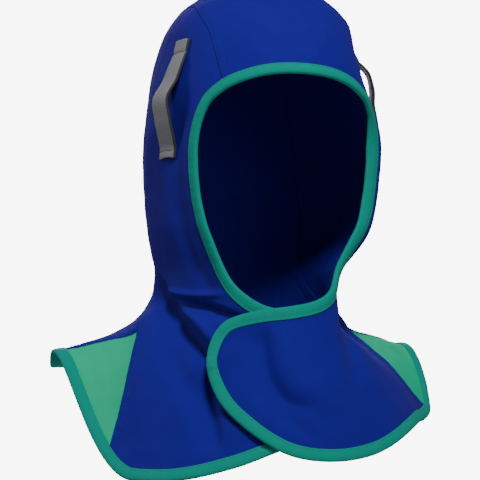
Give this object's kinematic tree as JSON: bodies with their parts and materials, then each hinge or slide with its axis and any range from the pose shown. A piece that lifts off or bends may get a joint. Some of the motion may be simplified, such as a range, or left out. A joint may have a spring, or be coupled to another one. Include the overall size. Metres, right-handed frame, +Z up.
{
  "type": "welding hood",
  "caption": "Hollow cloth welding hood as worn, covering head, neck and shoulders, with a bound face opening, lapped front flaps, shoulder gussets and temple strap loops.",
  "frame": {"origin": "inside of the crown, where the hood sits on top of the head", "axes": "+Z up, the face looks along -Y, the wearer's left is +X"},
  "size_m": [0.2924, 0.2328, 0.3671],
  "materials": {
    "cloth": "matt woven cotton, royal blue",
    "gusset_cloth": "matt woven cotton, green",
    "binding": "matt woven tape, green",
    "webbing": "woven webbing, grey",
    "fastening": "hook and loop pile, dark grey"
  },
  "bodies": {
    "root": {"center_panel": "cloth", "side_panel_right": "cloth", "side_panel_left": "cloth", "gusset_right": "gusset_cloth", "gusset_left": "gusset_cloth", "edge_binding": "binding", "strap_right": "webbing", "strap_left": "webbing", "front_closure": "fastening"}
  },
  "joints": []
}
